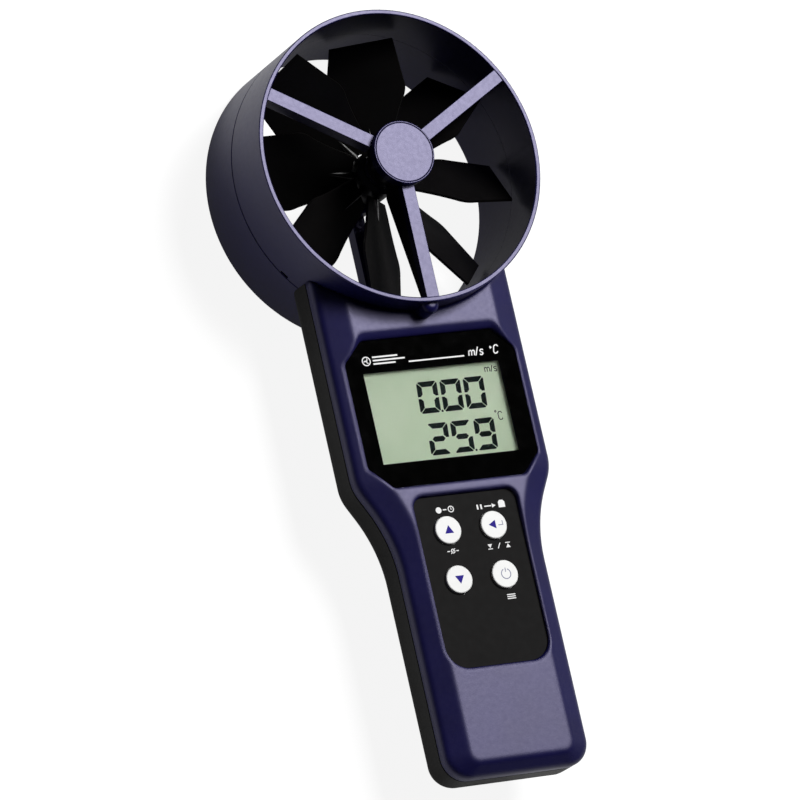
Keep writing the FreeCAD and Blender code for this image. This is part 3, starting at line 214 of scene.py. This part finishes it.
# name, colour, roughness, grain size and grain depth in mm, in the calls of moulded and film
NAVY = (0.0045, 0.0038, 0.055, 1.0)
LAVENDER = (0.76, 0.72, 1.0, 1.0)
JACKET_EDGE_MM = -112
MATERIALS = {
    "case_blue": moulded(
        "case_blue", NAVY, 0.43, 0.42, 0.018, soft_mm=2.2,
        Specular_IOR_Level=0.62, Specular_Tint=LAVENDER,
    ),
    "ring_blue": moulded(
        "ring_blue", NAVY, 0.36, 0.2, 0.003, soft_mm=0.3,
        Specular_IOR_Level=0.6, Specular_Tint=LAVENDER,
    ),
    "case_black": moulded(
        "case_black", (0.006, 0.0054, 0.005, 1), 0.5, 0.4, 0.02, vary=0.2, Specular_IOR_Level=0.2
    ),
    "vane_black": moulded(
        "vane_black", (0.003, 0.0026, 0.0026, 1), 0.34, 0.3, 0.004, vary=0.2,
        Specular_IOR_Level=0.4,
    ),
    "key_white": moulded("key_white", (0.85, 0.85, 0.84, 1), 0.42, 0.16, 0.004, vary=0.025),
    "keypad_film": film(
        "keypad_film", (0.006, 0.0055, 0.0055, 1), 0.6, 0.14, 0.006, Specular_IOR_Level=0.07
    ),
    "mask_ink": film(
        "mask_ink", (0.0022, 0.002, 0.002, 1), 0.5, 0.1, 0.001, Specular_IOR_Level=0.08
    ),
    "window_clear": clear_pane("window_clear"),
    "display": liquid_crystal("display"),
    "display_ink": film("display_ink", rgb(13, 27, 27), 0.6, 0.1, 0.001, Specular_IOR_Level=0.05),
    "print_white": film("print_white", (0.82, 0.82, 0.82, 1), 0.45, 0.12, 0.002),
    "print_blue": film("print_blue", rgb(34, 14, 140), 0.5, 0.12, 0.002, Specular_IOR_Level=0.08),
    "print_grey": film("print_grey", rgb(150, 152, 176), 0.5, 0.12, 0.002, Specular_IOR_Level=0.1),
    "frame_black": moulded("frame_black", (0.006, 0.006, 0.006, 1), 0.5, 0.3, 0.006, vary=0.2),
    "board_green": board_lacquer("board_green"),
    "chip_black": moulded("chip_black", (0.008, 0.008, 0.009, 1), 0.55, 0.12, 0.006, vary=0.2),
    "nylon_white": moulded("nylon_white", (0.62, 0.6, 0.54, 1), 0.48, 0.25, 0.005, vary=0.04),
    "rubber_strip": moulded("rubber_strip", (0.03, 0.03, 0.032, 1), 0.75, 0.15, 0.008, vary=0.15),
    "steel": metal("steel", (0.56, 0.56, 0.58, 1), 0.28),
    "brass": metal("brass", (0.72, 0.5, 0.2, 1), 0.3),
    "magnet": metal("magnet", (0.2, 0.2, 0.21, 1), 0.45),
    "glass_bead": moulded("glass_bead", (0.02, 0.018, 0.016, 1), 0.2, 0.3, 0.004, vary=0.2),
    "battery_jacket": jacket(
        "battery_jacket", (0.05, 0.052, 0.056, 1), (0.4, 0.27, 0.06, 1), JACKET_EDGE_MM
    ),
    "lead_black": moulded("lead_black", (0.008, 0.008, 0.008, 1), 0.42, 0.25, 0.005, vary=0.15),
    "lead_red": moulded("lead_red", (0.42, 0.01, 0.008, 1), 0.42, 0.25, 0.005, vary=0.08),
}

# the CAD nodes that wear each look
DRESSED = {
    "case_blue": ["front_shell"],
    "ring_blue": ["ring_front", "ring_rear", "front_hub_cap", "rear_hub_cap"],
    "case_black": ["back_shell", "battery_door"],
    "vane_black": ["rotor_hub", "sensor_arm"] + [f"vane_blade_{k}" for k in range(1, 9)],
    "key_white": ["button_up", "button_enter", "button_down", "button_power"],
    "keypad_film": ["keypad_panel"],
    "mask_ink": ["window_mask"],
    "window_clear": ["display_window"],
    "display": ["lcd_glass"],
    "frame_black": ["lcd_frame"],
    "board_green": ["circuit_board", "pickup_board"],
    "chip_black": ["controller_chip", "board_components", "pickup_sensor", "battery_clip"],
    "nylon_white": ["lead_connector", "key_switches"],
    "rubber_strip": ["contact_strips"],
    "steel": ["axle", "case_screws", "neck_screws", "board_screws", "battery_studs"],
    "brass": ["front_bearing", "rear_bearing"],
    "magnet": ["magnet_ring"],
    "glass_bead": ["thermistor"],
    "battery_jacket": ["battery"],
    "lead_black": ["battery_lead_black", "sensor_lead"],
    "lead_red": ["battery_lead_red"],
}


def dress(obj, look):
    """Gives obj one material, by its name in MATERIALS."""
    obj.data.materials.clear()
    obj.data.materials.append(MATERIALS[look])
    return obj


for look, names in DRESSED.items():
    for node_name in names:
        dress(NODES[node_name], look)


# ---------------------------------------------------------------- printed marks

SHARPEST_MITRE = 0.4  # cosine, below which a mitred corner grows no longer

class Plate:
    """Flat shapes of one colour, each a thin closed slab on a face at height z. All in mm."""

    def __init__(self, name, look, body, slot, z, thick=0.03):
        self.name, self.look, self.body, self.slot = name, look, body, slot
        self.z, self.thick = z, thick
        self.bm = bmesh.new()

    def polygon(self, points):
        low = [self.bm.verts.new((x * MM, y * MM, self.z * MM)) for x, y in points]
        high = [self.bm.verts.new((x * MM, y * MM, (self.z + self.thick) * MM)) for x, y in points]
        self.bm.faces.new(high)
        self.bm.faces.new(low[::-1])
        for k in range(len(points)):
            j = (k + 1) % len(points)
            self.bm.faces.new((low[k], low[j], high[j], high[k]))
        return self

    def band(self, outer, inner, closed=True):
        """The strip between two outlines of the same number of points."""
        low, high = self.z, self.z + self.thick
        rows = [
            [self.bm.verts.new((x * MM, y * MM, z * MM)) for x, y in line]
            for line, z in ((outer, low), (outer, high), (inner, high), (inner, low))
        ]
        count = len(outer) if closed else len(outer) - 1
        for k in range(count):
            j = (k + 1) % len(outer)
            for a, b in zip(rows, rows[1:] + rows[:1]):
                self.bm.faces.new((a[k], a[j], b[j], b[k]))
        if not closed:
            self.bm.faces.new([r[0] for r in rows])
            self.bm.faces.new([r[-1] for r in rows[::-1]])
        return self

    def arc(self, x, y, radius, width, start=0, turn=360, steps=32):
        """A ring, or the part of it from angle start through turn, in degrees."""
        closed = turn >= 360
        count = steps if closed else steps + 1
        angles = [math.radians(start + turn * k / steps) for k in range(count)]
        rim = [
            [(x + r * math.cos(a), y + r * math.sin(a)) for a in angles]
            for r in (radius + width / 2, radius - width / 2)
        ]
        return self.band(rim[0], rim[1], closed)

    def disc(self, x, y, radius, steps=28):
        turns = [2 * math.pi * k / steps for k in range(steps)]
        return self.polygon([(x + radius * math.cos(a), y + radius * math.sin(a)) for a in turns])

    def line(self, x0, y0, x1, y1, width):
        along = Vector((x1 - x0, y1 - y0)).normalized() * (width / 2)
        side = Vector((-along.y, along.x))
        ends = [(x0, y0, side), (x0, y0, -side), (x1, y1, -side), (x1, y1, side)]
        return self.polygon([(x + s.x, y + s.y) for x, y, s in ends])

    def stroke(self, points, width):
        """A bent line of even width with mitred corners."""
        left, right = [], []
        for k, (x, y) in enumerate(points):
            here = Vector((x, y))
            before = (here - Vector(points[k - 1])).normalized() if k else None
            after = (Vector(points[k + 1]) - here).normalized() if k < len(points) - 1 else None
            along = ((before or after) + (after or before)).normalized()
            reach = width / 2 / max(SHARPEST_MITRE, along.dot(before or after))
            side = Vector((-along.y, along.x)) * reach
            left.append(tuple(here + side))
            right.append(tuple(here - side))
        return self.band(left, right, closed=False)

    def done(self):
        mesh = bpy.data.meshes.new(self.name)
        bmesh.ops.recalc_face_normals(self.bm, faces=self.bm.faces)
        self.bm.to_mesh(mesh)
        self.bm.free()
        obj = bpy.data.objects.new(self.name, mesh)
        bpy.context.scene.collection.objects.link(obj)
        dress(obj, self.look)
        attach(obj, self.body)
        return obj


# seven-segment digits: a top, b and c right, d bottom, e and f left, g middle
# sizes in mm: digit's width and height, bar's width, its cut corner, and the gap between bars
DIGIT_W, DIGIT_H, BAR, CUT, GAP = 7.9, 11.3, 1.9, 0.85, 0.16
WAIST = 0.35  # from the digit's middle to the end of an upright bar
POINT_R = 0.42
DIGIT_PITCH = 9.03
SEGMENTS = {"0": "abcdef", "2": "abged", "5": "afgcd", "9": "abcdfg"}
SLANT = math.tan(math.radians(3.8))


def digit_shapes():
    """The outline of each segment, round the digit's centre."""
    w, h, t, c, g = DIGIT_W / 2, DIGIT_H / 2, BAR, CUT, GAP
    top = [
        (-w + c, h), (w - c, h), (w - (c + g) / 2, h - (c - g) / 2),
        (w - t - g, h - t), (-w + t + g, h - t), (-w + (c + g) / 2, h - (c - g) / 2),
    ]
    right = [
        (w, h - c), (w, WAIST), (w - t * 0.55, WAIST), (w - t, t / 2 + 0.25),
        (w - t, h - t - g), (w - (c - g) / 2, h - (c + g) / 2),
    ]
    middle = [
        (-w + t * 0.75, 0), (-w + t * 1.2, t / 2), (w - t * 1.2, t / 2),
        (w - t * 0.75, 0), (w - t * 1.2, -t / 2), (-w + t * 1.2, -t / 2),
    ]
    left = [(-x, y) for x, y in right]

    def under(shape):
        return [(x, -y) for x, y in shape]

    return {
        "a": top, "b": right, "g": middle, "f": left,
        "c": under(right), "d": under(top), "e": under(left),
    }


def digits(plate, text, x, y):
    """Draws text, its first digit centred at x, y. A full stop goes to the foot of the last gap."""
    shapes = digit_shapes()
    for mark in text:
        if mark == ".":
            foot = -DIGIT_H / 2 + 0.35
            plate.disc(x - DIGIT_PITCH / 2 + foot * SLANT, y + foot, POINT_R, 16)
            continue
        for name in SEGMENTS[mark]:
            plate.polygon([(x + px + py * SLANT, y + py) for px, py in shapes[name]])
        x += DIGIT_PITCH


# strokes of the unit marks, in shares of their height
LETTERS = {
    "m": [[(0, 0), (0, 0.62)], [(0, 0.5), (0.2, 0.62), (0.36, 0.5), (0.36, 0)],
          [(0.36, 0.5), (0.56, 0.62), (0.72, 0.5), (0.72, 0)]],
    "/": [[(0, -0.05), (0.34, 1)]],
    "s": [[(0.4, 0.52), (0.3, 0.62), (0.1, 0.62), (0, 0.5), (0.08, 0.35), (0.32, 0.27),
           (0.4, 0.13), (0.3, 0), (0.1, 0), (0, 0.1)]],
    "C": [[(0.55, 0.8), (0.4, 1), (0.15, 1), (0, 0.82), (0, 0.18), (0.15, 0), (0.4, 0),
           (0.55, 0.2)]],
    "o": [[(0, 0.12), (0.12, 0), (0.24, 0.12), (0.12, 0.24), (0, 0.12)]],
}


def letter(plate, mark, x, y, height, width, lean=0.0):
    """Draws one unit mark from its foot at x, y, leaning right by lean of its height."""
    for line in LETTERS[mark]:
        plate.stroke([(x + (px + py * lean) * height, y + py * height) for px, py in line], width)


def triangle(plate, x, y, width, height, turn):
    """A triangle centred at x, y that points at angle turn, in degrees from +X."""
    corners = [(height / 2, 0), (-height / 2, width / 2), (-height / 2, -width / 2)]
    cos, sin = math.cos(math.radians(turn)), math.sin(math.radians(turn))
    return plate.polygon([(x + px * cos - py * sin, y + px * sin + py * cos) for px, py in corners])


LCD_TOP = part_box("lcd_glass")[1].z / MM
WINDOW_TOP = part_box("display_window")[1].z / MM
FILM_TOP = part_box("keypad_panel")[1].z / MM
KEY_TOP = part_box("button_up")[1].z / MM

reading = Plate("display_digits", "display_ink", "case", "display_grey_green", LCD_TOP)
digits(reading, "0.00", -2.85, -1.15)
digits(reading, "25.9", -2.4, -16.1)
SPEED_UNIT_Y = 5.7
letter(reading, "m", 20.9, SPEED_UNIT_Y, 2.6, 0.3)
letter(reading, "/", 23.2, SPEED_UNIT_Y, 2.2, 0.28)
letter(reading, "s", 24.5, SPEED_UNIT_Y, 2.6, 0.3)
letter(reading, "o", 20.9, -8.9, 2.9, 0.22)
letter(reading, "C", 22.1, -11.6, 2.8, 0.3)
reading.done()

# over the display: a rule, a small fan with three streaks of air, and the units
legend = Plate("window_legend", "print_white", "case", "white_key_plastic", WINDOW_TOP, 0.02)
RULE_Y, UNIT_Y = 11.6, 11.4
FAN_X, FAN_Y, FAN_BLADE_AT = -24.4, 13.1, 0.62
STREAK_START, STREAK_WIDTH = -21.9, 0.55
legend.line(-8.4, RULE_Y, 13.1, RULE_Y, 0.5)
legend.arc(FAN_X, FAN_Y, 1.5, 0.36)
for k in range(3):
    base = 90 + 120 * k
    blade_x = FAN_X + FAN_BLADE_AT * math.cos(math.radians(base))
    blade_y = FAN_Y + FAN_BLADE_AT * math.sin(math.radians(base))
    legend.arc(blade_x, blade_y, 0.42, 0.3, base + 150, 180, 10)
for y, end in ((14.3, -12.2), (13.1, -9.6), (11.9, -13.4)):
    legend.line(STREAK_START, y, end, y, STREAK_WIDTH)
letter(legend, "m", 14.9, UNIT_Y, 3.0, 0.42, 0.2)
letter(legend, "/", 17.6, UNIT_Y, 2.9, 0.4, 0.1)
letter(legend, "s", 19.2, UNIT_Y, 3.0, 0.42, 0.2)
letter(legend, "o", 23.4, 13.3, 2.9, 0.32)
letter(legend, "C", 24.6, UNIT_Y, 2.9, 0.42, 0.2)
legend.done()

marks = Plate("keypad_legend", "print_white", "case", "white_key_plastic", FILM_TOP)
# over the up key: a lamp and a clock
LAMP_Y, CLOCK_X = -41.75, -5.6
marks.disc(-10.3, LAMP_Y, 1.1)
marks.line(-8.7, LAMP_Y, -7.3, LAMP_Y, 0.4)
marks.arc(CLOCK_X, LAMP_Y, 1.0, 0.34)
marks.stroke([(CLOCK_X, -41.1), (CLOCK_X, -41.8), (-5.1, -41.8)], 0.22)
# over the enter key: a pause, and an arrow into a memory card
for x in (4.6, 6.0):
    marks.line(x, -43.0, x, -41.3, 0.62)
ARROW_Y = -42.15
marks.line(7.2, ARROW_Y, 9.9, ARROW_Y, 0.4)
triangle(marks, 10.9, ARROW_Y, 1.5, 1.5, 0)
CARD_LEFT, CARD_RIGHT, CARD_FOOT, CARD_NECK, CARD_TOP = 12.7, 15.2, -43.1, -41.2, -40.5
marks.polygon([
    (CARD_LEFT, CARD_FOOT), (CARD_RIGHT, CARD_FOOT), (CARD_RIGHT, CARD_NECK),
    (14.6, CARD_TOP), (13.3, CARD_TOP), (CARD_LEFT, CARD_NECK),
])
# under the up key: a mean
MEAN_Y = -56.4
marks.arc(-8.3, MEAN_Y, 0.68, 0.3)
marks.line(-9.2, -57.3, -7.4, -55.5, 0.26)
marks.line(-10.5, MEAN_Y, -9.5, MEAN_Y, 0.34)
marks.line(-7.1, MEAN_Y, -6.1, MEAN_Y, 0.34)
# under the enter key: least and most
LEAST_Y, MOST_Y = -57.2, -55.55
triangle(marks, 6.0, -56.2, 1.7, 1.4, 270)
marks.line(5.1, LEAST_Y, 6.9, LEAST_Y, 0.3)
marks.line(8.9, -57.3, 10.0, -55.4, 0.32)
triangle(marks, 12.9, -56.6, 1.7, 1.4, 90)
marks.line(12.0, MOST_Y, 13.8, MOST_Y, 0.3)
# under the power key: a menu
for k in range(3):
    marks.line(8.2, -73.7 - 0.7 * k, 11.4, -73.7 - 0.7 * k, 0.36)
marks.done()


def key_symbol(key, look="print_blue"):
    """An empty plate on top of a key, which moves with it."""
    return Plate(f"symbol_{key}", look, f"button_{key}_cap", "white_key_plastic", KEY_TOP, 0.02)


triangle(key_symbol("up"), -8.6, -48.9, 3.4, 2.9, 90).done()
triangle(key_symbol("down"), -8.6, -66.8, 3.4, 2.9, 270).done()
triangle(key_symbol("enter"), 8.1, -49.0, 3.1, 2.7, 180).done()
hook = Plate(
    "symbol_enter_hook", "print_grey", "button_enter_cap", "white_key_plastic", KEY_TOP, 0.02
)
hook.stroke([(10.4, -49.4), (12.1, -49.4), (12.1, -47.9)], 0.3).done()
power = key_symbol("power", "print_grey")
POWER_X, POWER_STROKE = 9.1, 0.34
power.arc(POWER_X, -66.6, 1.75, POWER_STROKE, 115, 310)
power.line(POWER_X, -65.9, POWER_X, -64.5, POWER_STROKE)
power.done()


# ---------------------------------------------------------------- moulded arrow on the battery door

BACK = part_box("battery_door")[0].z / MM
ARROW_PROUD, ARROW_THICK = 0.25, 0.3
ARROW_FACE = BACK - ARROW_PROUD
arrow = Plate(
    "door_arrow", "case_black", "battery_cover", "black_case_plastic", ARROW_FACE, ARROW_THICK
)
triangle(arrow, 0, -103.2, 7.0, 5.0, 270)
arrow.line(0, -100.7, 0, -96.6, 2.2)
arrow.done()


# ---------------------------------------------------------------- floor, light and camera

FLOOR_HALF = 4.0
SEEN_FLOOR_Z, LIT_FLOOR_Z = -0.0006, -0.0004
WORLD_LIGHT, WORLD_SEEN = 0.02, 1.0
MIRROR = Vector((0.45618, 0.22362, 0.86133))  # where a face turned to +Z mirrors the camera
LAMP_TARGET = Vector((0, -0.006, 0.035))
LIGHT_DISTANCE = 1.7
# name, place across and along the plane square to MIRROR, width and height in metres, radiance
LAMPS = (
    ("lamp_head", 0, 0.27, 0.84, 0.34, 26),
    ("lamp_foot", 0, -0.23, 0.84, 0.26, 7),
    ("lamp_right", 0.265, 0, 0.31, 0.18, 10),
    ("lamp_left", -0.265, 0, 0.31, 0.18, 18),
)
# place, right, up and forward
CAMERA_VIEW = (
    (-1.07244, -0.51999, 2.03138), (0.88499, -0.21540, 0.41279), (0.09322, 0.95058, 0.29617),
    (0.45618, 0.22362, -0.86133),
)
CAMERA_LENS_MM, SENSOR_MM = 306.28, 36.0
CLIP_NEAR, CLIP_FAR = 0.05, 50.0

def look_along(obj, place, right, up, forward):
    """Stands a camera or lamp at place, with its axes along three unit vectors."""
    rows = Matrix((right, up, [-c for c in forward])).transposed()
    obj.matrix_world = Matrix.Translation(place) @ rows.to_4x4()


def floor_sheet(name, z):
    """A flat square sheet, which is part of the stage and not of the object."""
    bm = bmesh.new()
    bmesh.ops.create_grid(bm, x_segments=8, y_segments=8, size=FLOOR_HALF)
    mesh = bpy.data.meshes.new(name)
    bm.to_mesh(mesh)
    bm.free()
    obj = bpy.data.objects.new(name, mesh)
    obj.location.z = z
    bpy.context.scene.collection.objects.link(obj)
    return obj


def paper(name, low, high, glow):
    """Pale studio paper, with some light of its own as on a light table."""
    g = Graph(name, Emission_Color=WHITE, Emission_Strength=glow)
    soft = g.noise(60, 3)
    tone = g.tint(g.spread(soft, 0, 1), (low,) * 3 + (1,), (high,) * 3 + (1,))
    return g.finish(tone, g.spread(soft, 0.75, 0.85), g.bump(g.noise(0.8), 0.02))


def add_floor():
    """Two sheets: a glowing one that is seen, and one that only lights the object."""
    seen = floor_sheet("floor", SEEN_FLOOR_Z)
    seen.data.materials.append(paper("floor_seen", 0.22, 0.24, 0.86))
    seen.visible_diffuse = seen.visible_glossy = seen.visible_transmission = False
    lit = floor_sheet("floor_bounce", LIT_FLOOR_Z)
    lit.data.materials.append(paper("floor_lit", 0.6, 0.64, 0.16))
    lit.visible_camera = False
    lit.visible_shadow = False


def softbox(name, across, along, width, height, radiance):
    """A rectangular lamp in a plane square to MIRROR, turned to the object."""
    y_axis = (Vector((0, 1, 0)) - MIRROR * MIRROR.y).normalized()
    x_axis = y_axis.cross(MIRROR)
    data = bpy.data.lights.new(name, "AREA")
    data.shape, data.size, data.size_y = "RECTANGLE", width, height
    data.energy = radiance * width * height * math.pi
    light = bpy.data.objects.new(name, data)
    bpy.context.scene.collection.objects.link(light)
    place = LAMP_TARGET + MIRROR * LIGHT_DISTANCE + x_axis * across + y_axis * along
    look_along(light, place, x_axis, y_axis, -MIRROR)


def add_lamps():
    """Four soft lamps round a dark gap, which the flat window mirrors."""
    for lamp in LAMPS:
        softbox(*lamp)


def add_world():
    """Faint even light, which the camera sees as white."""
    world = bpy.data.worlds.new("studio")
    bpy.context.scene.world = world
    world.use_nodes = True
    tree = world.node_tree
    tree.nodes.clear()
    path = tree.nodes.new("ShaderNodeLightPath")
    mix = tree.nodes.new("ShaderNodeMixShader")
    output = tree.nodes.new("ShaderNodeOutputWorld")
    tree.links.new(path.outputs["Is Camera Ray"], mix.inputs[0])
    for socket, strength in ((1, WORLD_LIGHT), (2, WORLD_SEEN)):
        background = tree.nodes.new("ShaderNodeBackground")
        background.inputs[0].default_value = WHITE
        background.inputs[1].default_value = strength
        tree.links.new(background.outputs[0], mix.inputs[socket])
    tree.links.new(mix.outputs[0], output.inputs[0])


def add_camera():
    """The camera at the photograph's viewing angle."""
    data = bpy.data.cameras.new("camera")
    data.lens, data.sensor_width = CAMERA_LENS_MM, SENSOR_MM
    data.clip_start, data.clip_end = CLIP_NEAR, CLIP_FAR
    camera = bpy.data.objects.new("camera", data)
    bpy.context.scene.collection.objects.link(camera)
    look_along(camera, *CAMERA_VIEW)
    bpy.context.scene.camera = camera


add_floor()
add_lamps()
add_world()
add_camera()
bpy.context.scene.view_settings.view_transform = "Standard"
